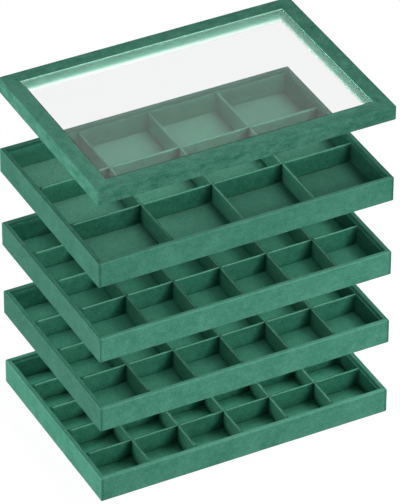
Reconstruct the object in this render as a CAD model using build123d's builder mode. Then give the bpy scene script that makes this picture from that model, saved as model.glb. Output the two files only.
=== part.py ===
from build123d import *
import os

# Stackable jewelry box: a glazed lid over four divided trays, each level lifted clear of the one below.
# Millimetres, +Z up, X along the long side and the front at -Y. The origin is the centre of the bottom
# tray's underside. Every board is wrapped in velvet, and the wrap is counted in its thickness.

# Footprint of every level
LENGTH = 350.0
WIDTH = 240.0

# Tray walls, and the boards that close the tray from below
WALL_HEIGHT = 30.0
WALL_THICKNESS = 5.5
RIM_ROUNDING = 0.9
FOOT_CHAMFER = 0.6
BASE_THICKNESS = 2.5
PAD_THICKNESS = 1.0

# The step inside the rim, and the plinth that drops into the step of the tray below
RIM_STEP = 3.0
PLINTH_DROP = 2.4
PLINTH_CLEARANCE = 0.6

# Liner strips and dividers
LINER_THICKNESS = 2.5
DIVIDER_THICKNESS = 2.5
LINER_ROUNDING = 0.8
DIVIDER_CHAMFER = 0.5
SLOT_CLEARANCE = 0.2

# Lid
LID_HEIGHT = 17.0
RAIL_WIDTH = 20.0
RAIL_ROUNDING = 1.1
WINDOW_ROUNDING = 0.5
LEDGE_WIDTH = 1.5
GLASS_THICKNESS = 2.0
GLASS_RECESS = 0.2
GLASS_CLEARANCE = 0.25
GLASS_ARRIS = 0.3
LIP_WIDTH = 6.0

# Each tray from the bottom up: its name, its columns and rows of cells, and the air under it
TRAYS = [
    ("bottom_tray", 6, 5, 0.0),
    ("third_tray", 6, 4, 64.5),
    ("second_tray", 6, 4, 61.5),
    ("top_tray", 4, 3, 67.0),
]
AIR_UNDER_LID = 74.0

# Sizes that follow from these
CORE_LENGTH = LENGTH - 2 * WALL_THICKNESS
CORE_WIDTH = WIDTH - 2 * WALL_THICKNESS
CELL_SPAN_X = CORE_LENGTH - 2 * LINER_THICKNESS
CELL_SPAN_Y = CORE_WIDTH - 2 * LINER_THICKNESS
FLOOR_LEVEL = BASE_THICKNESS + PAD_THICKNESS
DIVIDER_HEIGHT = WALL_HEIGHT - RIM_STEP - FLOOR_LEVEL
PLINTH_INSET = WALL_THICKNESS + PLINTH_CLEARANCE
GLASS_SEAT_DEPTH = GLASS_RECESS + GLASS_THICKNESS
FULL_HEIGHT = PLINTH_DROP + len(TRAYS) * WALL_HEIGHT + sum(t[3] for t in TRAYS) + AIR_UNDER_LID + LID_HEIGHT

# The piece of the plan that each side of a frame keeps, out to its 45 degree mitres
HALF_L, HALF_W = LENGTH / 2, WIDTH / 2
MITRE_REGIONS = {
    "front": [(-HALF_L, -HALF_W), (HALF_L, -HALF_W), (HALF_L - HALF_W, 0), (HALF_W - HALF_L, 0)],
    "back": [(-HALF_L, HALF_W), (HALF_W - HALF_L, 0), (HALF_L - HALF_W, 0), (HALF_L, HALF_W)],
    "left": [(-HALF_L, -HALF_W), (HALF_W - HALF_L, 0), (-HALF_L, HALF_W)],
    "right": [(HALF_L, -HALF_W), (HALF_L, HALF_W), (HALF_L - HALF_W, 0)],
}


def save(shape, name):
    shape.label = name
    export_step(shape, f"parts/{name}.step")


def mitred(ring):
    """The four boards of a closed frame, cut apart at its corners."""
    boards = {}
    for side, region in MITRE_REGIONS.items():
        with BuildPart() as board:
            add(ring)
            with BuildSketch():
                Polygon(*region, align=None)
            extrude(amount=FULL_HEIGHT, mode=Mode.INTERSECT)
        boards[side] = board.part
    return boards


def tray_walls(name, bottom):
    """Four outer boards with softly rounded rims."""
    with BuildPart() as ring:
        with BuildSketch(Plane.XY.offset(bottom)):
            Rectangle(LENGTH, WIDTH)
            Rectangle(CORE_LENGTH, CORE_WIDTH, mode=Mode.SUBTRACT)
        extrude(amount=WALL_HEIGHT)
        fillet(ring.faces().sort_by(Axis.Z)[-1].edges(), RIM_ROUNDING)
        chamfer(ring.faces().sort_by(Axis.Z)[0].outer_wire().edges(), FOOT_CHAMFER)
    save(Compound(list(mitred(ring.part).values())), f"{name}_walls")


def tray_base(name, bottom):
    """The board between the walls, the plinth glued under it and the velvet pad laid on it."""
    with BuildPart() as base:
        with BuildSketch(Plane.XY.offset(bottom)):
            Rectangle(CORE_LENGTH, CORE_WIDTH)
        extrude(amount=BASE_THICKNESS)
    save(base.part, f"{name}_base")

    with BuildPart() as plinth:
        with BuildSketch(Plane.XY.offset(bottom - PLINTH_DROP)):
            Rectangle(LENGTH - 2 * PLINTH_INSET, WIDTH - 2 * PLINTH_INSET)
        extrude(amount=PLINTH_DROP)
        chamfer(plinth.faces().sort_by(Axis.Z)[0].edges(), FOOT_CHAMFER)
    save(plinth.part, f"{name}_plinth")

    with BuildPart() as pad:
        with BuildSketch(Plane.XY.offset(bottom + BASE_THICKNESS)):
            Rectangle(CORE_LENGTH, CORE_WIDTH)
        extrude(amount=PAD_THICKNESS)
    save(pad.part, f"{name}_floor_pad")


def tray_liner(name, floor):
    """Four strips against the walls, whose tops leave the step inside the rim."""
    with BuildPart() as ring:
        with BuildSketch(Plane.XY.offset(floor)):
            Rectangle(CORE_LENGTH, CORE_WIDTH)
            Rectangle(CELL_SPAN_X, CELL_SPAN_Y, mode=Mode.SUBTRACT)
        extrude(amount=DIVIDER_HEIGHT)
        fillet(ring.faces().sort_by(Axis.Z)[-1].inner_wires()[0].edges(), LINER_ROUNDING)
    save(Compound(list(mitred(ring.part).values())), f"{name}_liner")


def divider_places(span, cells):
    """Centre lines of the dividers that part a span into equal cells."""
    pitch = (span + DIVIDER_THICKNESS) / cells
    return [i * pitch - (span + DIVIDER_THICKNESS) / 2 for i in range(1, cells)]


def divider(name, plane, span, floor, crossings, slots_from_above):
    """One board on edge, slotted over half its height where the other dividers cross it."""
    slot_middle = floor + DIVIDER_HEIGHT * (0.75 if slots_from_above else 0.25)
    with BuildPart() as board:
        with BuildSketch(plane):
            with Locations((0, floor + DIVIDER_HEIGHT / 2)):
                Rectangle(span, DIVIDER_HEIGHT)
            with Locations(*[(place, slot_middle) for place in crossings]):
                Rectangle(DIVIDER_THICKNESS + SLOT_CLEARANCE, DIVIDER_HEIGHT / 2, mode=Mode.SUBTRACT)
        extrude(amount=DIVIDER_THICKNESS / 2, both=True)
        long_edges = board.edges().filter_by(Axis((0, 0, 0), plane.x_dir))
        chamfer(long_edges.group_by(Axis.Z)[-1], DIVIDER_CHAMFER)
    save(board.part, name)


def tray_dividers(name, columns, rows, floor):
    """The half-lapped grid: long row dividers under, short column dividers over."""
    column_places = divider_places(CELL_SPAN_X, columns)
    row_places = divider_places(CELL_SPAN_Y, rows)
    for number, place in enumerate(row_places, start=1):
        plane = Plane.XZ.offset(-place)
        divider(f"{name}_row_divider_{number}", plane, CELL_SPAN_X, floor, column_places, True)
    for number, place in enumerate(column_places, start=1):
        plane = Plane.YZ.offset(place)
        divider(f"{name}_column_divider_{number}", plane, CELL_SPAN_Y, floor, row_places, False)


def lid_rails(bottom):
    """Four rails with a rebate round the window's top edge, which the glass lies in."""
    top = bottom + LID_HEIGHT
    window_length, window_width = LENGTH - 2 * RAIL_WIDTH, WIDTH - 2 * RAIL_WIDTH
    with BuildPart() as ring:
        with BuildSketch(Plane.XY.offset(bottom)):
            Rectangle(LENGTH, WIDTH)
            Rectangle(window_length, window_width, mode=Mode.SUBTRACT)
        extrude(amount=LID_HEIGHT)
        with BuildSketch(Plane.XY.offset(top)):
            Rectangle(window_length + 2 * LEDGE_WIDTH, window_width + 2 * LEDGE_WIDTH)
        extrude(amount=-GLASS_SEAT_DEPTH, mode=Mode.SUBTRACT)
        top_face = ring.faces().sort_by(Axis.Z)[-1]
        fillet(top_face.outer_wire().edges(), RAIL_ROUNDING)
        top_face = ring.faces().sort_by(Axis.Z)[-1]
        fillet(top_face.inner_wires()[0].edges(), WINDOW_ROUNDING)
        chamfer(ring.faces().sort_by(Axis.Z)[0].outer_wire().edges(), FOOT_CHAMFER)
    for side, rail in mitred(ring.part).items():
        save(rail, f"lid_{side}_rail")


def lid_glass(bottom):
    """The pane, with its sharp arrises taken off."""
    seat = RAIL_WIDTH - LEDGE_WIDTH + GLASS_CLEARANCE
    with BuildPart() as glass:
        with BuildSketch(Plane.XY.offset(bottom + LID_HEIGHT - GLASS_SEAT_DEPTH)):
            Rectangle(LENGTH - 2 * seat, WIDTH - 2 * seat)
        extrude(amount=GLASS_THICKNESS)
        for face in (glass.faces().sort_by(Axis.Z)[-1], glass.faces().sort_by(Axis.Z)[0]):
            chamfer(face.edges(), GLASS_ARRIS)
    save(glass.part, "lid_glass_panel")


def lid_lip(bottom):
    """Four strips under the rails, which drop into the step of the top tray."""
    outer_length, outer_width = LENGTH - 2 * PLINTH_INSET, WIDTH - 2 * PLINTH_INSET
    with BuildPart() as ring:
        with BuildSketch(Plane.XY.offset(bottom - PLINTH_DROP)):
            Rectangle(outer_length, outer_width)
            Rectangle(outer_length - 2 * LIP_WIDTH, outer_width - 2 * LIP_WIDTH, mode=Mode.SUBTRACT)
        extrude(amount=PLINTH_DROP)
        chamfer(ring.faces().sort_by(Axis.Z)[0].edges(), FOOT_CHAMFER)
    save(Compound(list(mitred(ring.part).values())), "lid_lip")


os.makedirs("parts", exist_ok=True)

level = PLINTH_DROP
for name, columns, rows, air_below in TRAYS:
    level += air_below
    tray_walls(name, level)
    tray_base(name, level)
    tray_liner(name, level + FLOOR_LEVEL)
    tray_dividers(name, columns, rows, level + FLOOR_LEVEL)
    print(f"{name}: walls from {level:.1f} to {level + WALL_HEIGHT:.1f} mm")
    level += WALL_HEIGHT

level += AIR_UNDER_LID
lid_rails(level)
lid_glass(level)
lid_lip(level)
print(f"lid: rails from {level:.1f} to {level + LID_HEIGHT:.1f} mm")
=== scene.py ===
import math

import bmesh
import bpy
import numpy as np
from mathutils import Matrix, Vector, noise

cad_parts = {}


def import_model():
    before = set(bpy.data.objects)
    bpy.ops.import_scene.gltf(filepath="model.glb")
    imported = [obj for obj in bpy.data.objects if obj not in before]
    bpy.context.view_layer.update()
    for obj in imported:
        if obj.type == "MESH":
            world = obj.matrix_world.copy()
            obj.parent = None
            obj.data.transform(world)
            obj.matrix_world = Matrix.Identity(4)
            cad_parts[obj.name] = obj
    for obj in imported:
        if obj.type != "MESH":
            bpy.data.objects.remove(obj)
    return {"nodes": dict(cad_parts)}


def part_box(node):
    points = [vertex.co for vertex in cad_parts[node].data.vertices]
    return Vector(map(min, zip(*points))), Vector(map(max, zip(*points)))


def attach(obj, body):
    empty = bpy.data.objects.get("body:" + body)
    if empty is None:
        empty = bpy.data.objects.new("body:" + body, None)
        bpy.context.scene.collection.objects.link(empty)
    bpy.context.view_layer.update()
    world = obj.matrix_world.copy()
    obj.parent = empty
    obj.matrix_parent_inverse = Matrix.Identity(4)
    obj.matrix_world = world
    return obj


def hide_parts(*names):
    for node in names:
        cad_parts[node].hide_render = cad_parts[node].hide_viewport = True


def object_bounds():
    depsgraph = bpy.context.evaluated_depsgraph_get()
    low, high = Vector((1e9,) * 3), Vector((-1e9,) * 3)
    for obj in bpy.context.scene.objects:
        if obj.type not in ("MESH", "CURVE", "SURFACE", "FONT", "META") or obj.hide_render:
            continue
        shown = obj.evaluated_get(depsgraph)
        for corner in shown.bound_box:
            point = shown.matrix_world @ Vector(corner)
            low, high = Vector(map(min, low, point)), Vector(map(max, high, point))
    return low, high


# Stackable jewelry box: the looks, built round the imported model. Metres, +Z up, the front at -Y.
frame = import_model()
cad_low, cad_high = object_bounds()
nodes = frame["nodes"]

MM = 0.001
TINY = 1e-9
WELD_DISTANCE = 1e-6
TRAYS = ("bottom_tray", "third_tray", "second_tray", "top_tray")
LEVELS = TRAYS + ("lid",)
SIDES = {"front": 0.0, "right": 90.0, "back": 180.0, "left": 270.0}

# How finely boards are divided
BOARD_SPACING = 5.0 * MM
EDGE_SHOULDER = 0.7 * MM
ARC_STEPS = 4
CORNER_ARC = (45.0, 30.0, 15.0)

# The velvet wrap: how far it is drawn in, over what length it varies, and the grooves at the corner seams
WRAP_RELIEF = 0.16 * MM
DIVIDER_RELIEF = 0.7 * WRAP_RELIEF
RELIEF_LENGTH = 32.0 * MM
FINE_RELIEF, FINE_SCALE = 0.22, 3.1
SEED_STEPS = (7.3, 3.1, 5.7)
WALL_GROOVE, LINER_GROOVE, RAIL_GROOVE = 0.22 * MM, 0.1 * MM, 0.06 * MM
SEAM_REACH = 1.1 * MM
SEAM_STOPS = (0.0, 0.35, 1.0, 2.5)

# Seeds of the wrap's unevenness
FIRST_SEED, SEEDS_PER_TRAY = 1, 10
LINER_SEED, DIVIDER_SEED, COLUMN_SEED, PAD_SEED, LID_SEED = 100, 200, 20, 300, 501

# Roundings
TRAY_CORNER, LID_CORNER = 1.3 * MM, 1.6 * MM
WALL_FOOT, WALL_RIM, WALL_RIM_INSIDE = 0.9 * MM, 1.5 * MM, 1.2 * MM
LINER_BEHIND, LINER_TOP = 0.4 * MM, 1.1 * MM
DIVIDER_TOP = 1.1 * MM
RAIL_FOOT, RAIL_TOP, RAIL_WINDOW = 0.8 * MM, 1.5 * MM, 0.7 * MM
RAIL_SEAT, RAIL_WINDOW_FOOT = 0.4 * MM, 1.6 * MM

# Half laps: the play on each side of a slot, and how the board's top rounds off toward it
SLOT_PLAY = 0.1 * MM
SLOT_ROUNDING = 0.9 * MM
SLOT_EASE = ((0.0, 1.0), (0.12, 0.55), (0.4, 0.15), (1.0, 0.0))

# How far a normal has to lean for its point to count as the rim's outer edge, the rail's foot or a face
RIM_LEAN_OUT, RIM_LEAN_UP = 0.3, 0.2
FOOT_LEAN = 0.2
INWARD_LEAN, FACE_LEAN = 0.5, 0.9

# Tones are shares of painted light (edge) and painted shade (shade). Painted light may go on to 2, nearly
# white.
# Walls: painted highlights on the rim's outer edge and on the front top, painted shade on the other tops, at
# the left rim's outer edge and on the inner face; the ends of the front and back boards are dark seams
WALL_RIM_PALE = {"front": 0.42, "left": 0.36, "back": 0.10, "right": 0.10}
WALL_TOP_PALE = {"front": 0.30, "left": 0.0, "back": 0.0, "right": 0.0}
WALL_TOP_SHADE = {"front": 0.0, "left": 0.14, "back": 0.32, "right": 0.32}
WALL_END_SHADE = {"front": 0.45, "left": 0.0, "back": 0.45, "right": 0.0}
WALL_INSIDE_SHADE = 0.55
LEFT_RIM_SHADE, LEFT_RIM_REACH = 0.36, 1.0 * MM
# Liners: painted shade on their tops, on the right face and rising up the back face
LINER_TOP_SHADE = 0.44
LINER_RIGHT_SHADE = 0.58
LINER_BACK_RISE = 0.14
# Dividers: the painted highlight on a top where it is lapped, and the gain of a face's painted shadow
LAPPED_EDGE = 0.4
END_GAIN = 1.25

# The liner's back face in each tray: its painted shade and its painted light
LINER_BACK = {"top_tray": (0.10, 0.30), "second_tray": (0.36, 0.0), "third_tray": (0.36, 0.0),
              "bottom_tray": (0.36, 0.0)}

# A divider's face in each cell, from its left or front end to its right or back end: the painted light at
# the last end and what the first one has more of it, then how far the painted shadow at the last end reaches
# at the top, what the foot adds to that, and the shadow's darkness
ROW_FACE = (0.0, 0.30, 8.0 * MM, 13.0 * MM, 0.96)
COLUMN_FACE = (0.14, 0.72, 3.0 * MM, 5.0 * MM, 0.80)

# Floor pads: the crown in each cell, and where its grid lines lie as shares of the cell
PAD_CROWN = 0.9 * MM
PAD_SHOULDER = 4.5 * MM
PAD_RELIEF, PAD_RELIEF_LENGTH = 0.30 * MM, 24.0 * MM
CELL_STOPS = (0.0, 0.015, 0.035, 0.06, 0.1, 0.18, 0.3, 0.42)

# Floor pads: painted light at the front and at the back of the tray, then the painted shadow beside the
# column dividers and the painted darkening toward the right
PAD_PALE = {"top_tray": (0.46, 0.75), "second_tray": (0.46, 0.38), "third_tray": (0.46, 0.38),
            "bottom_tray": (0.50, 0.20)}
PAD_SHADES = {"top_tray": (0.72, 0.60), "second_tray": (0.40, 0.10), "third_tray": (0.40, 0.10),
              "bottom_tray": (0.30, 0.0)}
# Painted shadow in the cells' right ends and along the back, painted shade round each crown's foot, and the
# painted darkening toward the right
PAD_CORNER_REACH, PAD_CORNER_CURVE = 17.0 * MM, 1.3
PAD_PAINTED_FOOT_SHADE, PAD_PAINTED_FOOT_CURVE = 0.6, 3
PAD_BACK_SHADE = 0.14
DRIFT_RISE, DRIFT_FRONT, DRIFT_FALL = 1.9, 1.1, 1.3
PAD_DARKEST = 0.95

# Lid: the ledge that the pane lies in, the air under the pane, and from where the rail's wrap lies flat
RAIL_LEDGE = 18.5 * MM
SEAT_GAP = 0.05 * MM
STRAIGHT_FROM = RAIL_LEDGE - 2.0 * MM
PANE_ARRIS = 0.5 * MM
PANE_CORNER = 0.5 * MM
PANE_FIT = Vector((0.2 * MM, 0.2 * MM, 0.0))
PANE_ARC = (0.0, 22.5, 45.0, 67.5, 90.0)

# Lid tones of painted light and shade; heights on the window's sides are shares of its depth from the foot
# up
RAIL_FOOT_PALE = 0.4
RAIL_TOP_PALE = {"front": 0.42, "left": 0.36, "back": 0.10, "right": 0.10}
WINDOW_DEPTH = 14.6 * MM
WINDOW_PALE = {"front": 0.3, "left": 0.3, "back": 1.0, "right": 0.95}
FADE_HEIGHTS, FADE_TONES = (0.34, 0.45, 0.54, 0.95), (2.0, 1.45, 0.60, 0.0)
WINDOW_SHADE, WINDOW_SHADE_FROM, WINDOW_SHADE_SPAN = 0.28, 0.55, 0.40
LEDGE_PALE = {"front": 1.15, "left": 1.15, "back": 1.15, "right": 0.80}
LEDGE_REACH, LEDGE_FROM = 0.5 * MM, 14.0 * MM
LEDGE_CLEAR = 0.1 * MM

# Colours
WHITE = (1.0, 1.0, 1.0, 1.0)
VELVET_DEEP = (0.016, 0.125, 0.076, 1.0)
# The paler velvet and the near-white of painted light, and the colour of painted shade and dark seams
VELVET_PAINTED_LIGHT = (0.150, 0.400, 0.290, 1.0)
VELVET_PAINTED_WHITE = (0.680, 0.770, 0.740, 1.0)
VELVET_SHADE = (0.001, 0.036, 0.021, 1.0)
OUTER_NAP = {"plain": (0.052, 0.205, 0.140, 1.0), "light": (0.090, 0.285, 0.204, 1.0),
             "sheen": (0.55, 0.95, 0.80, 1.0)}
# A more saturated copy of the nap for the inside and the lower floors: painted shade
SHADED_NAP = {"plain": (0.036, 0.203, 0.130, 1.0), "light": (0.064, 0.280, 0.188, 1.0),
             "sheen": (0.28, 0.90, 0.70, 1.0)}
GLASS_TINT = (0.880, 0.890, 0.886, 1.0)
GROUND_GLASS_DARK = (0.29, 0.68, 0.53, 1.0)
GROUND_GLASS_LIGHT = (0.43, 0.80, 0.66, 1.0)
FLOOR_WHITE = (0.86, 0.86, 0.86, 1.0)

# Velvet: gains of its patterns, the grain in its painted light, and the pile's bump
CLOUD_GAIN = 1.3
PAINTED_LIGHT_GRAIN = 0.35
BUMP_STRENGTH, BUMP_DISTANCE = 0.35, 0.25 * MM
BUMP_GRAIN, BUMP_PILE = 0.7, 0.3

# Camera and stage
CAMERA_PLACE = Vector((-1.8565, -3.5897, 3.1013))
CAMERA_AZIMUTH, CAMERA_ELEVATION, CAMERA_ROLL = -27.412, 35.692, 0.214
CAMERA_LENS, CAMERA_SENSOR = 329.06, 36.0
CAMERA_NEAR, CAMERA_FAR = 0.1, 100.0
FLOOR_HALF = 40.0
FLOOR_GAP = 0.2 * MM
FLOOR_GLOW, FLOOR_GLOW_SHARE = 1.12, 0.86
AMBIENT = 0.2

# Lamps: (azimuth, elevation, distance, width, height), an azimuth of 0 in front and 90 on the right
LAMPS = {
    "key": (60.0, 45.0, 1.2, 0.4, 0.4),
    "front_strip": (5.0, 2.0, 1.5, 0.9, 0.2),
    "front_fill": (5.0, 25.0, 1.5, 0.9, 0.45),
    "left_strip": (-88.0, 0.5, 1.5, 0.9, 0.12),
    "left_fill": (-90.0, 20.0, 1.5, 0.9, 0.3),
    "left_box": (-60.0, 60.0, 1.2, 0.7, 0.7),
    "back_box": (150.0, 60.0, 1.2, 0.7, 0.7),
    "gap_glow": (-44.0, -14.0, 2.4, 1.2, 0.3),
}
WATTS = {
    "bottom_tray": {"front_strip": 7.4, "front_fill": 5.9, "left_strip": 17.0, "left_fill": 6.5,
                    "back_box": 10.7, "key": 5.3},
    "third_tray": {"front_strip": 8.9, "front_fill": 6.6, "left_strip": 12.6, "left_box": 2.1,
                   "back_box": 5.9, "key": 4.7},
    "second_tray": {"front_strip": 9.6, "front_fill": 5.7, "left_strip": 12.6, "left_box": 3.2,
                    "back_box": 1.6, "key": 5.6},
    "top_tray": {"front_strip": 10.8, "front_fill": 3.3, "left_strip": 14.2, "left_box": 1.8,
                 "back_box": 1.0, "key": 2.4},
    "lid": {"front_fill": 11.1, "left_strip": 18.5, "left_box": 4.6, "back_box": 1.3, "gap_glow": 47.0},
}


def placed(name, data):
    """An object in the scene's collection."""
    made = bpy.data.objects.new(name, data)
    bpy.context.scene.collection.objects.link(made)
    return made


def mesh_object(name, verts, faces, attributes):
    """A smooth mesh with its coincident points joined and the given values at its points."""
    mesh = bpy.data.meshes.new(name)
    mesh.from_pydata([tuple(v) for v in verts], [], faces)
    for label, values in attributes.items():
        mesh.attributes.new(label, "FLOAT", "POINT").data.foreach_set("value", np.array(values, np.float32))
    made = placed(name, mesh)
    weld(mesh)
    mesh.shade_smooth()
    made.modifiers.new("soft normals", "WEIGHTED_NORMAL").keep_sharp = True
    return made


def weld(mesh):
    """Joins coincident points and drops the faces that this leaves without area."""
    work = bmesh.new()
    work.from_mesh(mesh)
    bmesh.ops.remove_doubles(work, verts=work.verts, dist=WELD_DISTANCE)
    bmesh.ops.dissolve_degenerate(work, edges=work.edges, dist=WELD_DISTANCE)
    bmesh.ops.recalc_face_normals(work, faces=work.faces)
    work.to_mesh(mesh)
    work.free()


def rounded_profile(corners, radii):
    """Points round a closed profile with rounded corners: places, outward normals, edge weights."""
    corners = [np.array(c, float) for c in corners]
    area = sum(a[0] * b[1] - a[1] * b[0] for a, b in zip(corners, corners[1:] + corners[:1]))
    turn = 1.0 if area > 0 else -1.0
    points, normals, weights = [], [], []

    def put(point, normal, weight):
        points.append(point)
        normals.append(normal / np.linalg.norm(normal))
        weights.append(weight)

    def outward(direction):
        return turn * np.array((direction[1], -direction[0]))

    count = len(corners)
    for i in range(count):
        here, after, before = corners[i], corners[(i + 1) % count], corners[i - 1]
        coming = (here - before) / np.linalg.norm(here - before)
        going = (after - here) / np.linalg.norm(after - here)
        radius = radii[i]
        if radius:
            centre = here - coming * radius + going * radius
            for k in range(ARC_STEPS + 1):
                angle = math.pi / 2 * k / ARC_STEPS
                normal = outward(coming) * math.cos(angle) + outward(going) * math.sin(angle)
                put(centre + normal * radius, normal, 1.0)
        else:
            put(here, outward(coming) + outward(going), 0.0)
        start = here + going * radius
        end = after - going * radii[(i + 1) % count]
        length = np.linalg.norm(end - start)
        first, last = EDGE_SHOULDER, length - EDGE_SHOULDER
        steps = max(1, round((last - first) / BOARD_SPACING))
        for k in range(steps + 1):
            at = first + (last - first) * k / steps
            put(start + going * at, outward(going), 0.0)
    return np.array(points), np.array(normals), np.array(weights)


def relief(places, amount, length, seed):
    """How far the wrapped surface is drawn in at each place: from nothing to amount."""
    flat = places.reshape(-1, 3)
    drawn = np.empty(len(flat))
    shift = Vector([seed * step for step in SEED_STEPS])
    for i, place in enumerate(flat):
        p = Vector(place) / length + shift
        drawn[i] = 0.5 + 0.5 * noise.noise(p) + FINE_RELIEF * noise.noise(p * FINE_SCALE)
    return np.clip(drawn, 0, 1).reshape(places.shape[:-1]) * amount


def loft(stations, first):
    """Faces between rings of points, with a cap at each end. stations is (rings, points, 3)."""
    rings, points = stations.shape[:2]
    faces = []
    for i in range(rings - 1):
        for j in range(points):
            k = (j + 1) % points
            a, b = first + i * points, first + (i + 1) * points
            faces.append((a + j, a + k, b + k, b + j))
    faces.append(tuple(first + j for j in reversed(range(points))))
    faces.append(tuple(first + (rings - 1) * points + j for j in range(points)))
    return faces


class Gathered:
    """Several lofts gathered into one object. edge carries painted light, shade painted shade and dark
    seams.
    """

    def __init__(self):
        self.verts, self.faces, self.values = [], [], {"edge": [], "shade": []}

    def add(self, stations, edge, shade):
        self.faces += loft(stations, len(self.verts))
        self.verts += list(stations.reshape(-1, 3))
        self.values["edge"] += list(edge.reshape(-1))
        self.values["shade"] += list(shade.reshape(-1))

    def finish(self, name):
        return mesh_object(name, self.verts, self.faces, self.values)


def board_stations(length):
    """Stations along a board: an arc's angle or a share of the run, the seam, and the nearness to an end."""
    mitre = CORNER_ARC[0]
    near = [stop * SEAM_REACH for stop in SEAM_STOPS]
    steps = max(2, round((length - 2 * near[-1]) / BOARD_SPACING))
    middle = [near[-1] + (length - 2 * near[-1]) * k / steps for k in range(1, steps)]
    stations = [("arc", -a, float(a == mitre), 1.0) for a in CORNER_ARC]
    for run in near + middle + [length - v for v in reversed(near)]:
        reach = min(run, length - run) / near[-1]
        stations.append(("run", run / length, 0.0, max(0.0, 1.0 - reach)))
    return stations + [("arc", a, float(a == mitre), 1.0) for a in reversed(CORNER_ARC)]


def frame_board(gathered, half_along, half_across, bottom, profile, side, corner, groove, tones, seed):
    """One side of a rectangular frame: its profile swept along the side between two mitres."""
    points, normals, _ = profile
    edge, shade, end_shade = tones(side, points, normals)
    stations = board_stations(2 * (half_along - corner))

    def place(kind, value, inset, z):
        reach = np.maximum(corner, inset)
        radius = np.maximum(corner - inset, 0.0)
        if kind == "arc":
            angle = math.radians(value)
            along = math.copysign(1.0, value) * (half_along - reach) + radius * math.sin(angle)
            across = -(half_across - reach) - radius * math.cos(angle)
        else:
            along = (half_along - reach) * (2 * value - 1)
            across = -(half_across - reach) - radius
        return np.stack([along, across, bottom + z], axis=-1)

    plain = np.array([place(kind, value, points[:, 0], points[:, 1]) for kind, value, _, _ in stations])
    spin = np.array(Matrix.Rotation(math.radians(SIDES[side]), 3, "Z"))
    drawn = relief(plain @ spin.T, WRAP_RELIEF, RELIEF_LENGTH, seed) * (points[:, 0] < STRAIGHT_FROM)
    outside = np.clip(-normals[:, 0], 0, 1)
    rings, shades, edges = [], [], []
    for i, (kind, value, seam, end) in enumerate(stations):
        moved = points - normals * (drawn[i] + groove * seam)[:, None]
        rings.append(place(kind, value, moved[:, 0], moved[:, 1]))
        shades.append(np.maximum(shade, end * end_shade * outside))
        edges.append(edge * (1.0 - end * end_shade))
    gathered.add(np.array(rings) @ spin.T, np.array(edges), np.array(shades))


def frame_of_boards(names, low, high, profile, corner, groove, tones, seed):
    """Four mitred boards round a rectangle: an object each where names is a dictionary by side, else one."""
    half_x, half_y = (high.x - low.x) / 2, (high.y - low.y) / 2
    made, gathered = [], Gathered()
    for number, side in enumerate(SIDES):
        along, across = (half_x, half_y) if side in ("front", "back") else (half_y, half_x)
        frame_board(gathered, along, across, low.z, profile, side, corner, groove, tones, seed + number)
        if isinstance(names, dict):
            made.append(gathered.finish(names[side]))
            gathered = Gathered()
    return made if isinstance(names, dict) else gathered.finish(names)


def wall_tones(side, points, normals):
    """Painted highlights on the rim's outer edge and front top, painted shade on other tops and the inner
    face.
    """
    top = np.clip(normals[:, 1], 0, 1) ** 2
    outer = np.where((normals[:, 0] < -RIM_LEAN_OUT) & (normals[:, 1] > RIM_LEAN_UP), 1.0, 0.0)
    edge = np.maximum(outer * WALL_RIM_PALE[side], WALL_TOP_PALE[side] * top)
    # Painted shade on the rim's top, deeper at the left rim's outer edge
    painted_top_shade = WALL_TOP_SHADE[side]
    if side == "left":
        painted_top_shade = painted_top_shade + LEFT_RIM_SHADE * np.clip(1 - (points[:, 0] - WALL_RIM) / LEFT_RIM_REACH, 0, 1)
    inside = np.where(normals[:, 0] > INWARD_LEAN, WALL_INSIDE_SHADE, 0.0)
    return edge, np.maximum(top * painted_top_shade * (1 - outer), inside), WALL_END_SHADE[side]


def liner_tones(tray):
    """A tray's liner tones: painted shade on top, on the right and at the back, and painted light at the
    back.
    """
    back_shade, back_pale = LINER_BACK[tray]

    def tones(side, points, normals):
        top = np.clip(normals[:, 1], 0, 1) ** 2
        inward = np.where(normals[:, 0] > INWARD_LEAN, 1.0, 0.0)
        pale, shade = np.zeros(len(points)), np.zeros(len(points))
        if side == "back":
            pale = inward * back_pale
            shade = inward * (back_shade + LINER_BACK_RISE * points[:, 1] / points[:, 1].max())
        if side == "right":
            shade = inward * LINER_RIGHT_SHADE
        return pale, np.maximum(top * LINER_TOP_SHADE, shade), 0.0

    return tones


def rail_tones(side, points, normals):
    """Painted highlights on the foot, top and ledge; window sides go from painted shade to near-white
    painted light.
    """
    foot = np.where((normals[:, 0] < -FOOT_LEAN) & (normals[:, 1] < -FOOT_LEAN), RAIL_FOOT_PALE, 0.0)
    top = np.clip(normals[:, 1], 0, 1) ** 2 * (points[:, 0] < RAIL_LEDGE) * RAIL_TOP_PALE[side]
    if side == "front":
        top = top * np.clip(points[:, 0] / RAIL_LEDGE, 0, 1)
    # The window's sides: painted light fading to near-white toward the foot, painted shade near the top, and
    # a painted highlight on the ledge
    window = points[:, 0] > RAIL_LEDGE + LEDGE_CLEAR
    height = np.clip(points[:, 1] / WINDOW_DEPTH, 0, 1)
    pale = np.where(window, WINDOW_PALE[side] * np.interp(height, FADE_HEIGHTS, FADE_TONES), 0.0)
    rise = np.clip((height - WINDOW_SHADE_FROM) / WINDOW_SHADE_SPAN, 0, 1)
    deep = np.where(window, WINDOW_SHADE * rise, 0.0)
    on_ledge = (np.abs(points[:, 0] - RAIL_LEDGE) < LEDGE_REACH) & (points[:, 1] > LEDGE_FROM)
    ledge = np.where(on_ledge, LEDGE_PALE[side], 0.0)
    return np.maximum(np.maximum(foot, top), np.maximum(pale, ledge)), deep, 0.0


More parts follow.
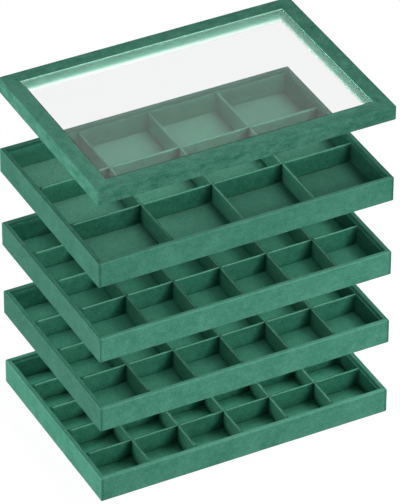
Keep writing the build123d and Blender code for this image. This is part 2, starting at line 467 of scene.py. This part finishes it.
def tray_walls(tray, seed):
    """The four outer boards with their rolled rims and corner seams."""
    node = f"{tray}_walls"
    low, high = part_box(node)
    thickness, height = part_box(f"{tray}_base")[0].x - low.x, high.z - low.z
    corners = [(0, 0), (0, height), (thickness, height), (thickness, 0)]
    profile = rounded_profile(corners, [WALL_FOOT, WALL_RIM, WALL_RIM_INSIDE, 0.0])
    name = f"{tray}_wrapped_walls"
    return frame_of_boards(name, low, high, profile, TRAY_CORNER, WALL_GROOVE, wall_tones, seed), node


def tray_liner(tray, seed):
    """The four strips inside the walls."""
    node = f"{tray}_liner"
    low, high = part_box(node)
    thickness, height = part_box(f"{tray}_row_divider_1")[0].x - low.x, high.z - low.z
    corners = [(0, 0), (0, height), (thickness, height), (thickness, 0)]
    profile = rounded_profile(corners, [0.0, LINER_BEHIND, LINER_TOP, 0.0])
    name = f"{tray}_wrapped_liner"
    return frame_of_boards(name, low, high, profile, 0.0, LINER_GROOVE, liner_tones(tray), seed), node


def divider_names(tray, kind):
    """The names of a tray's row dividers or column dividers, in order."""
    start = f"{tray}_{kind}_divider_"
    return sorted(name for name in nodes if name.startswith(start))


def divider_stations(half, height, cuts, slot_half, slots_from_above):
    """Stations along a divider: (place, top, foot), the share of the cell passed, and the cell's length."""
    slot_top, slot_foot = (height / 2, 0.0) if slots_from_above else (height, height / 2)
    ease = SLOT_EASE if slots_from_above else ((0.0, 0.0),)
    stops, shares, lengths = [(-half, height, 0.0)], [], []
    marks = [-half] + cuts + [half]
    for number, (start, end) in enumerate(zip(marks, marks[1:])):
        first = start + (slot_half if number else 0.0)
        last = end - (slot_half if number < len(cuts) else 0.0)
        steps = max(2, round((last - first) / BOARD_SPACING))
        if number:
            stops.append((first, slot_top, slot_foot))
            stops += [(first + a * SLOT_ROUNDING, height - b * SLOT_ROUNDING, 0.0) for a, b in ease]
        stops += [(first + (last - first) * k / steps, height, 0.0) for k in range(1, steps)]
        if number < len(cuts):
            stops += [(last - a * SLOT_ROUNDING, height - b * SLOT_ROUNDING, 0.0) for a, b in reversed(ease)]
            stops.append((last, slot_top, slot_foot))
        shares += [(stop[0] - first) / (last - first) for stop in stops[len(shares):]]
        lengths += [last - first] * (len(stops) - len(lengths))
    stops.append((half, height, 0.0))
    return list(zip(stops, shares + [1.0], lengths + [lengths[-1]]))


def divider(node, crossings, along_x, slots_from_above, slot_half, seed):
    """One divider on edge, drawn in over its top and cut for its half laps."""
    low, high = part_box(node)
    centre = (low + high) / 2
    size_x, size_y, height = high.x - low.x, high.y - low.y, high.z - low.z
    half, thickness = (size_x / 2, size_y) if along_x else (size_y / 2, size_x)
    corners = [(-thickness / 2, 0), (-thickness / 2, height), (thickness / 2, height), (thickness / 2, 0)]
    points, normals, weights = rounded_profile(corners, [0.0, DIVIDER_TOP, DIVIDER_TOP, 0.0])
    last_pale, first_more, narrow, spread, dark = ROW_FACE if along_x else COLUMN_FACE
    face = np.abs(normals[:, 0]) > FACE_LEAN
    low_part = np.clip(1 - points[:, 1] / height, 0, 1)
    shoulder = height - DIVIDER_TOP
    cap = points[:, 1] >= shoulder - TINY

    rings, edges, shades = [], [], []
    stations = divider_stations(half, height, sorted(crossings), slot_half, slots_from_above)
    for (at, top, foot), share, length in stations:
        scale = (top - DIVIDER_TOP - foot) / shoulder
        z = np.where(cap, top - (height - points[:, 1]), foot + points[:, 1] * scale)
        rings.append(np.stack([np.full(len(z), at), points[:, 0], z], axis=-1))
        # Painted light paling toward the first end, painted highlights on the top's arcs, and a painted
        # shadow widening toward the foot at the last end
        pale = last_pale + first_more * (1 - share)
        edges.append(np.maximum(weights * (1.0 if top == height else LAPPED_EDGE), face * pale))
        reach = (narrow + spread * low_part) / length
        shades.append(face * dark * np.clip(END_GAIN * (share - 1 + reach) / reach, 0, 1))
    rings = np.array(rings)
    drawn = relief(rings + np.array(centre), DIVIDER_RELIEF, RELIEF_LENGTH, seed)
    drawn[:, np.abs(points[:, 1]) < TINY] = 0.0
    rings[..., 1] -= normals[None, :, 0] * drawn
    rings[..., 2] -= normals[None, :, 1] * drawn
    if not along_x:
        rings = np.stack([-rings[..., 1], rings[..., 0], rings[..., 2]], axis=-1)
    rings += np.array((centre.x, centre.y, low.z))
    gathered = Gathered()
    gathered.add(rings, np.array(edges), np.array(shades))
    return gathered.finish(node.replace("_divider_", "_wrapped_divider_"))


def tray_dividers(tray, seed):
    """All dividers of one tray, each with the node that it stands for."""
    rows, columns = divider_names(tray, "row"), divider_names(tray, "column")
    row_places = [sum(p.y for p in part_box(n)) / 2 for n in rows]
    column_places = [sum(p.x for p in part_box(n)) / 2 for n in columns]
    low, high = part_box(columns[0])
    slot_half = (high.x - low.x) / 2 + SLOT_PLAY
    made = []
    for number, node in enumerate(rows):
        made.append((divider(node, column_places, True, True, slot_half, seed + number), node))
    for number, node in enumerate(columns, start=COLUMN_SEED):
        made.append((divider(node, row_places, False, False, slot_half, seed + number), node))
    return made


def cell_edges(tray, kind, axis):
    """The free stretches between the liner and the dividers along an axis, as (start, end) pairs."""
    low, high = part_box(f"{tray}_row_divider_1") if axis == 0 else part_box(f"{tray}_column_divider_1")
    edges = [low[axis]]
    for name in divider_names(tray, kind):
        lo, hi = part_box(name)
        edges += [lo[axis], hi[axis]]
    edges.append(high[axis])
    return list(zip(edges[0::2], edges[1::2]))


def pad_lines(cells, start, end):
    """Grid lines over the cells: their places, the crown's rise there, and the nearness to a cell's end."""
    places, rises, ends = [start], [0.0], [0.0]
    for a, b in cells:
        span = b - a
        for stop in list(CELL_STOPS) + [0.5] + [1 - s for s in reversed(CELL_STOPS)]:
            inside = min(stop, 1 - stop) * span
            places.append(a + stop * span)
            rises.append(1 - (1 - min(inside / PAD_SHOULDER, 1.0)) ** 2)
            ends.append(max(0.0, 1 - (1 - stop) * span / PAD_CORNER_REACH))
    return np.array(places + [end]), np.array(rises + [0.0]), np.array(ends + [0.0])


def slab_faces(nx, ny):
    """The faces of a slab whose top is a grid of nx by ny points, followed by the same grid underneath."""
    under = nx * ny
    faces = []
    for i in range(nx - 1):
        for j in range(ny - 1):
            a, b, c, d = i * ny + j, (i + 1) * ny + j, (i + 1) * ny + j + 1, i * ny + j + 1
            faces.append((a, b, c, d))
            faces.append((under + d, under + c, under + b, under + a))
    rim = [i * ny for i in range(nx)] + [(nx - 1) * ny + j for j in range(1, ny)]
    rim += [i * ny + ny - 1 for i in reversed(range(nx - 1))] + [j for j in reversed(range(1, ny - 1))]
    for a, b in zip(rim, rim[1:] + rim[:1]):
        faces.append((b, a, under + a, under + b))
    return faces


def floor_pad(tray, seed):
    """The velvet pad, which crowns a little in each cell and lies low under the dividers, in painted light
    and shade.
    """
    node = f"{tray}_floor_pad"
    low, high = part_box(node)
    xs, x_rise, x_end = pad_lines(cell_edges(tray, "column", 0), low.x, high.x)
    ys, y_rise, y_end = pad_lines(cell_edges(tray, "row", 1), low.y, high.y)
    grid_x, grid_y = np.meshgrid(xs, ys, indexing="ij")
    rise = x_rise[:, None] * y_rise[None, :]
    flat = np.stack([grid_x, grid_y, np.full(grid_x.shape, high.z)], axis=-1)
    top = high.z + rise * (PAD_CROWN - relief(flat, PAD_RELIEF, PAD_RELIEF_LENGTH, seed))
    verts = list(np.stack([grid_x, grid_y, top], axis=-1).reshape(-1, 3))
    verts += list(np.stack([grid_x, grid_y, np.full(grid_x.shape, low.z)], axis=-1).reshape(-1, 3))

    # Painted shade round the crowns' feet, painted shadow at the cells' right and back ends, painted
    # darkening toward the right, and painted light rising from the front to the back
    across = (grid_x - low.x) / (high.x - low.x)
    depth = (grid_y - low.y) / (high.y - low.y)
    beside, rightwards = PAD_SHADES[tray]
    painted_foot_shade = PAD_PAINTED_FOOT_SHADE * (1 - np.clip(rise, 0, 1)) ** PAD_PAINTED_FOOT_CURVE
    corners = np.maximum(beside * x_end[:, None] ** PAD_CORNER_CURVE, PAD_BACK_SHADE * y_end[None, :])
    drift = rightwards * np.minimum(DRIFT_RISE * across, 1) * np.clip(DRIFT_FRONT - DRIFT_FALL * depth, 0, 1)
    shade = np.clip(np.maximum(painted_foot_shade, corners) + drift, 0, PAD_DARKEST)
    pale_front, pale_back = PAD_PALE[tray]
    pale = (pale_front + (pale_back - pale_front) * depth) * rise
    underside = np.zeros(grid_x.size)
    tones = {"edge": np.concatenate([pale.reshape(-1), underside]),
             "shade": np.concatenate([shade.reshape(-1), underside])}
    return mesh_object(f"{tray}_velvet_pad", verts, slab_faces(*grid_x.shape), tones), node


def lid_rails(seed):
    """The four glazed rails, each with its rebate and with the node that it stands for."""
    rails = {side: f"lid_{side}_rail" for side in SIDES}
    boxes = [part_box(node) for node in rails.values()]
    low = Vector([min(b[0][i] for b in boxes) for i in range(3)])
    high = Vector([max(b[1][i] for b in boxes) for i in range(3)])
    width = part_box(rails["front"])[1].y - low.y
    height = high.z - low.z
    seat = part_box("lid_glass_panel")[0].z - SEAT_GAP - low.z
    corners = [(0, 0), (0, height), (RAIL_LEDGE, height), (RAIL_LEDGE, seat), (width, seat), (width, 0)]
    profile = rounded_profile(corners, [RAIL_FOOT, RAIL_TOP, RAIL_WINDOW, 0.0, RAIL_SEAT, RAIL_WINDOW_FOOT])
    names = {side: f"lid_wrapped_{side}_rail" for side in SIDES}
    made = frame_of_boards(names, low, high, profile, LID_CORNER, RAIL_GROOVE, rail_tones, seed)
    return [(piece, rails[side]) for piece, side in zip(made, SIDES)]


def glass_pane():
    """The pane: clear faces, and an edge with its arrises ground off in a second material."""
    low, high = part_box("lid_glass_panel")
    low, high = low - PANE_FIT, high + PANE_FIT
    middle, thickness = (low + high) / 2, high.z - low.z
    side_x, side_y = (high.x - low.x) / 2 - PANE_CORNER, (high.y - low.y) / 2 - PANE_CORNER
    work = bmesh.new()
    rings = []
    for inset, height in ((PANE_ARRIS, 0.0), (0.0, PANE_ARRIS), (0.0, thickness - PANE_ARRIS),
                          (PANE_ARRIS, thickness)):
        radius = PANE_CORNER - inset
        ring = []
        for sx, sy, start in ((1, 1, 0), (-1, 1, 90), (-1, -1, 180), (1, -1, 270)):
            for turn in PANE_ARC:
                angle = math.radians(start + turn)
                x = middle.x + sx * side_x + radius * math.cos(angle)
                y = middle.y + sy * side_y + radius * math.sin(angle)
                ring.append(work.verts.new((x, y, low.z + height)))
        rings.append(ring)
    count = len(rings[0])
    for lower, upper in zip(rings, rings[1:]):
        for i in range(count):
            k = (i + 1) % count
            work.faces.new((lower[i], lower[k], upper[k], upper[i])).material_index = 1
    work.faces.new(list(reversed(rings[0])))
    work.faces.new(rings[-1])
    mesh = bpy.data.meshes.new("lid_picture_glass")
    work.to_mesh(mesh)
    work.free()
    return placed("lid_picture_glass", mesh)


def new_material(name):
    """An empty node material with its output."""
    material = bpy.data.materials.new(name)
    material.use_nodes = True
    tree = material.node_tree
    tree.nodes.clear()
    return material, tree, tree.nodes.new("ShaderNodeOutputMaterial")


def shader_node(tree, kind, **settings):
    """A shader node with its properties set, and its inputs by name."""
    made = tree.nodes.new(kind)
    for key, value in settings.items():
        if key in made.inputs:
            made.inputs[key].default_value = value
        else:
            setattr(made, key, value)
    return made


def noise_of(tree, vector, scale, detail, roughness, distortion=0.0):
    """A noise texture's value at a vector."""
    made = shader_node(tree, "ShaderNodeTexNoise", Scale=scale, Detail=detail, Roughness=roughness,
                       Distortion=distortion)
    tree.links.new(vector, made.inputs["Vector"])
    return made.outputs["Fac"]


def math_of(tree, operation, a, b, clamp=False):
    """A math node on two values, each a socket or a number."""
    made = shader_node(tree, "ShaderNodeMath", operation=operation, use_clamp=clamp)
    for socket, value in zip(made.inputs, (a, b)):
        if isinstance(value, (int, float)):
            socket.default_value = value
        else:
            tree.links.new(value, socket)
    return made.outputs[0]


def mixed(tree, factor, a, b):
    """A colour between a and b, each a socket or a colour."""
    made = shader_node(tree, "ShaderNodeMix", data_type="RGBA")
    for socket, value in zip((made.inputs[0], made.inputs[6], made.inputs[7]), (factor, a, b)):
        if isinstance(value, bpy.types.NodeSocket):
            tree.links.new(value, socket)
        else:
            socket.default_value = value
    return made.outputs[2]


def velvet(name, nap, offset, stretch, turn, stroke_gain, grain_gain):
    """Short-pile velvet: brushed clouds and mottling, fine grain, painted light and shade, and dark seams.

    An edge value up to 1 is painted light in paler velvet, and from 1 to 2 it goes on to painted near-white.
    """
    material, tree, output = new_material(name)
    place = shader_node(tree, "ShaderNodeTexCoord").outputs["Object"]
    shifted = shader_node(tree, "ShaderNodeMapping", Location=offset)
    tree.links.new(place, shifted.inputs["Vector"])
    brushed = shader_node(tree, "ShaderNodeMapping", Rotation=turn, Scale=stretch)
    tree.links.new(shifted.outputs[0], brushed.inputs["Vector"])
    clouds = noise_of(tree, shifted.outputs[0], scale=30.0, detail=3.0, roughness=0.55, distortion=0.5)
    mottle = noise_of(tree, brushed.outputs[0], scale=150.0, detail=3.0, roughness=0.6, distortion=0.4)
    grain = noise_of(tree, shifted.outputs[0], scale=520.0, detail=2.0, roughness=0.7)
    pile = noise_of(tree, shifted.outputs[0], scale=3200.0, detail=1.0, roughness=0.5)

    parts = [math_of(tree, "MULTIPLY", math_of(tree, "SUBTRACT", part, 0.5), gain)
             for part, gain in ((clouds, CLOUD_GAIN), (mottle, stroke_gain), (grain, grain_gain))]
    tone = math_of(tree, "ADD", math_of(tree, "ADD", parts[0], parts[1]), parts[2])
    light = math_of(tree, "ADD", tone, 0.0, clamp=True)
    dark = math_of(tree, "MULTIPLY", tone, -1.0, clamp=True)
    colour = mixed(tree, light, nap["plain"], nap["light"])
    colour = mixed(tree, dark, colour, VELVET_DEEP)
    # edge brings painted light, mottled by the grain; shade brings painted shade and dark seams
    edge = shader_node(tree, "ShaderNodeAttribute", attribute_name="edge").outputs["Fac"]
    shade = shader_node(tree, "ShaderNodeAttribute", attribute_name="shade").outputs["Fac"]
    painted_light = math_of(tree, "MULTIPLY", edge, math_of(tree, "ADD", grain, PAINTED_LIGHT_GRAIN), clamp=True)
    colour = mixed(tree, painted_light, colour, mixed(tree, painted_light, nap["light"], VELVET_PAINTED_LIGHT))
    # Painted light above 1 goes on to a painted near-white
    bright = math_of(tree, "SUBTRACT", edge, 1.0, clamp=True)
    colour = mixed(tree, bright, colour, VELVET_PAINTED_WHITE)
    colour = mixed(tree, shade, colour, VELVET_SHADE)

    coarse = math_of(tree, "MULTIPLY", grain, BUMP_GRAIN)
    height = math_of(tree, "ADD", coarse, math_of(tree, "MULTIPLY", pile, BUMP_PILE))
    bump = shader_node(tree, "ShaderNodeBump", Strength=BUMP_STRENGTH, Distance=BUMP_DISTANCE)
    tree.links.new(height, bump.inputs["Height"])
    shader = shader_node(tree, "ShaderNodeBsdfPrincipled")
    shader.inputs["Roughness"].default_value = 0.95
    shader.inputs["Specular IOR Level"].default_value = 0.04
    shader.inputs["Sheen Weight"].default_value = 0.24
    shader.inputs["Sheen Roughness"].default_value = 0.45
    shader.inputs["Sheen Tint"].default_value = nap["sheen"]
    tree.links.new(colour, shader.inputs["Base Color"])
    tree.links.new(bump.outputs[0], shader.inputs["Normal"])
    tree.links.new(shader.outputs[0], output.inputs["Surface"])
    return material


def glass():
    """Clear picture glass."""
    material, tree, output = new_material("clear_glass")
    shader = shader_node(tree, "ShaderNodeBsdfPrincipled")
    shader.inputs["Base Color"].default_value = GLASS_TINT
    shader.inputs["Roughness"].default_value = 0.02
    shader.inputs["IOR"].default_value = 1.38
    shader.inputs["Transmission Weight"].default_value = 1.0
    tree.links.new(shader.outputs[0], output.inputs["Surface"])
    return material


def glass_edge():
    """The pane's ground edge, which looks pale green."""
    material, tree, output = new_material("ground_glass_edge")
    place = shader_node(tree, "ShaderNodeTexCoord").outputs["Object"]
    cloud = noise_of(tree, place, scale=220.0, detail=2.0, roughness=0.5)
    shader = shader_node(tree, "ShaderNodeBsdfPrincipled")
    shader.inputs["Roughness"].default_value = 0.45
    tree.links.new(mixed(tree, cloud, GROUND_GLASS_DARK, GROUND_GLASS_LIGHT), shader.inputs["Base Color"])
    tree.links.new(shader.outputs[0], output.inputs["Surface"])
    return material


def give(obj, material):
    """Puts a material on a piece."""
    obj.data.materials.clear()
    obj.data.materials.append(material)


def dress(piece, replaced, body, material):
    """A piece that stands for a node, rides on its body and wears its material."""
    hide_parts(replaced)
    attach(piece, body)
    give(piece, material)
    levels[body].append(piece)


def dress_tray(tray, seed):
    """One tray: walls, liner, dividers and pad as pieces of their own, base and plinth as they are."""
    walls, wall_node = tray_walls(tray, seed)
    dress(walls, wall_node, tray, BOARDS)
    liner, liner_node = tray_liner(tray, seed + LINER_SEED)
    dress(liner, liner_node, tray, INSIDE)
    for piece, divider_node in tray_dividers(tray, seed + DIVIDER_SEED):
        dress(piece, divider_node, tray, INSIDE)
    pad, pad_node = floor_pad(tray, seed + PAD_SEED)
    # The lower trays' floors take the shaded copy of the nap, a painted shade
    dress(pad, pad_node, tray, TOP_FLOORS if tray == "top_tray" else LOW_FLOORS)
    for part in ("base", "plinth"):
        give(nodes[f"{tray}_{part}"], BOARDS)
        levels[tray].append(nodes[f"{tray}_{part}"])


def direction(azimuth, elevation):
    """The unit vector toward an azimuth and an elevation in radians, an azimuth of 0 being the front."""
    level = math.cos(elevation)
    return Vector((math.sin(azimuth) * level, -math.cos(azimuth) * level, math.sin(elevation)))


def camera():
    """The photograph's view: a long lens from the left, the front and above."""
    data = bpy.data.cameras.new("camera")
    data.lens, data.sensor_width = CAMERA_LENS, CAMERA_SENSOR
    data.clip_start, data.clip_end = CAMERA_NEAR, CAMERA_FAR
    made = placed("camera", data)
    azimuth, elevation, roll = (math.radians(v) for v in (CAMERA_AZIMUTH, CAMERA_ELEVATION, CAMERA_ROLL))
    back = direction(azimuth, elevation)
    right = Vector((math.cos(azimuth), math.sin(azimuth), 0))
    up = back.cross(right)
    turned = math.cos(roll) * right + math.sin(roll) * up
    risen = math.cos(roll) * up - math.sin(roll) * right
    aimed = Matrix((turned, risen, back)).transposed().to_4x4()
    made.matrix_world = Matrix.Translation(CAMERA_PLACE) @ aimed
    bpy.context.scene.camera = made


def seen_rays(tree):
    """1 on the rays that show the background: from the camera, mirrored or through glass."""
    path = shader_node(tree, "ShaderNodeLightPath")
    found = math_of(tree, "MAXIMUM", path.outputs["Is Camera Ray"], path.outputs["Is Glossy Ray"])
    return math_of(tree, "MAXIMUM", found, path.outputs["Is Transmission Ray"])


def mixed_shaders(tree, factor, first, second, output):
    """Sends a mix of two shaders to the output."""
    mix = shader_node(tree, "ShaderNodeMixShader")
    for socket, source in zip(mix.inputs, (factor, first.outputs[0], second.outputs[0])):
        tree.links.new(source, socket)
    tree.links.new(mix.outputs[0], output.inputs["Surface"])


def floor():
    """A white floor that takes a light shadow."""
    mesh = bpy.data.meshes.new("floor")
    half, z = FLOOR_HALF, cad_low.z - FLOOR_GAP
    corners = [(-half, -half, z), (half, -half, z), (half, half, z), (-half, half, z)]
    mesh.from_pydata(corners, [], [(0, 1, 2, 3)])
    made = placed("floor", mesh)
    material, tree, output = new_material("white_floor")
    paint = shader_node(tree, "ShaderNodeBsdfDiffuse", Color=FLOOR_WHITE)
    glow = shader_node(tree, "ShaderNodeEmission", Color=WHITE, Strength=FLOOR_GLOW)
    share = math_of(tree, "MULTIPLY", seen_rays(tree), FLOOR_GLOW_SHARE)
    mixed_shaders(tree, share, paint, glow, output)
    mesh.materials.append(material)
    return made


def world():
    """White round the object as the camera and the glass see it, and soft light for the rest."""
    made = bpy.data.worlds.new("studio")
    made.use_nodes = True
    bpy.context.scene.world = made
    tree = made.node_tree
    tree.nodes.clear()
    output = shader_node(tree, "ShaderNodeOutputWorld")
    white = shader_node(tree, "ShaderNodeBackground", Color=WHITE, Strength=1.0)
    soft = shader_node(tree, "ShaderNodeBackground", Color=WHITE, Strength=AMBIENT)
    mixed_shaders(tree, seen_rays(tree), soft, white, output)


def group_of(name, objects):
    """A collection of objects for a lamp to be linked to."""
    group = bpy.data.collections.new(name)
    for obj in objects:
        group.objects.link(obj)
    return group


def lamp(name, kind, target, watts, lit, shading):
    """An area lamp aimed at a point, which lights and is shaded by the given collections alone."""
    azimuth, elevation, distance, width, height = LAMPS[kind]
    away = direction(math.radians(azimuth), math.radians(elevation))
    data = bpy.data.lights.new(name, "AREA")
    data.shape = "RECTANGLE"
    data.size, data.size_y = width, height
    data.energy = watts
    made = placed(name, data)
    made.location = target + away * distance
    made.rotation_mode = "QUATERNION"
    made.rotation_quaternion = (-away).to_track_quat("-Z", "Y")
    made.light_linking.receiver_collection = lit
    made.light_linking.blocker_collection = shading


def light_level(level):
    """A level's own lamps. The bottom tray's key lights the floor too, the gap glow only the window."""
    low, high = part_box(f"{level}_walls" if level in TRAYS else "lid_front_rail")
    middle = Vector((0, 0, (low.z + high.z) / 2))
    own = group_of(f"{level}_lit", levels[level])
    shading = group_of(f"{level}_shading", [piece for piece in levels[level] if piece != pane])
    for kind, watts in WATTS[level].items():
        lit, blocking = own, shading
        if kind == "gap_glow":
            lit = group_of("window_sides", [rails["back"][0], rails["right"][0], pane])
            blocking = group_of("trays_under_lid", [piece for tray in TRAYS for piece in levels[tray]])
        if level == "bottom_tray" and kind == "key":
            lit = group_of("bottom_tray_and_floor", levels[level] + [ground])
        lamp(f"{level}_{kind}", kind, middle, watts, lit, blocking)


BOARDS = velvet("velvet_on_boards", OUTER_NAP, offset=(0.3, 0.7, 0.2), stretch=(0.8, 0.8, 1.0),
                turn=(0.0, 0.0, 0.0), stroke_gain=1.4, grain_gain=1.7)
LONG_RAILS = velvet("velvet_on_long_rails", OUTER_NAP, offset=(0.9, 1.1, 0.6), stretch=(0.5, 0.8, 1.0),
                    turn=(0.0, 0.05, 0.4), stroke_gain=3.2, grain_gain=2.2)
SHORT_RAILS = velvet("velvet_on_short_rails", OUTER_NAP, offset=(1.6, 0.4, 1.2), stretch=(0.8, 0.5, 1.0),
                     turn=(0.05, 0.0, 0.4), stroke_gain=3.2, grain_gain=2.2)
# The dividers, liners and lower floors wear the shaded copy of the nap, a painted shade
INSIDE = velvet("velvet_on_dividers", SHADED_NAP, offset=(1.3, 0.2, 0.9), stretch=(0.8, 0.8, 1.0),
                turn=(0.0, 0.3, 0.2), stroke_gain=2.3, grain_gain=2.6)
TOP_FLOORS = velvet("velvet_on_top_floors", OUTER_NAP, offset=(2.1, 1.7, 0.5), stretch=(0.8, 1.0, 1.0),
                    turn=(0.0, 0.0, 0.7), stroke_gain=1.5, grain_gain=2.2)
LOW_FLOORS = velvet("velvet_on_low_floors", SHADED_NAP, offset=(2.1, 1.7, 0.5), stretch=(0.8, 1.0, 1.0),
                    turn=(0.0, 0.0, 0.7), stroke_gain=1.5, grain_gain=2.2)
GLASS = glass()
GLASS_EDGE = glass_edge()

# The visible pieces of each level, in the order in which they are made
levels = {level: [] for level in LEVELS}
for index, tray in enumerate(TRAYS):
    dress_tray(tray, SEEDS_PER_TRAY * index + FIRST_SEED)

rails = dict(zip(SIDES, lid_rails(LID_SEED)))
for side, (rail, rail_node) in rails.items():
    dress(rail, rail_node, "lid", LONG_RAILS if side in ("front", "back") else SHORT_RAILS)
give(nodes["lid_lip"], BOARDS)
levels["lid"].append(nodes["lid_lip"])
pane = glass_pane()
dress(pane, "lid_glass_panel", "lid", GLASS)
pane.data.materials.append(GLASS_EDGE)

camera()
ground = floor()
world()
for level in LEVELS:
    light_level(level)

bpy.context.scene.view_settings.view_transform = "Standard"
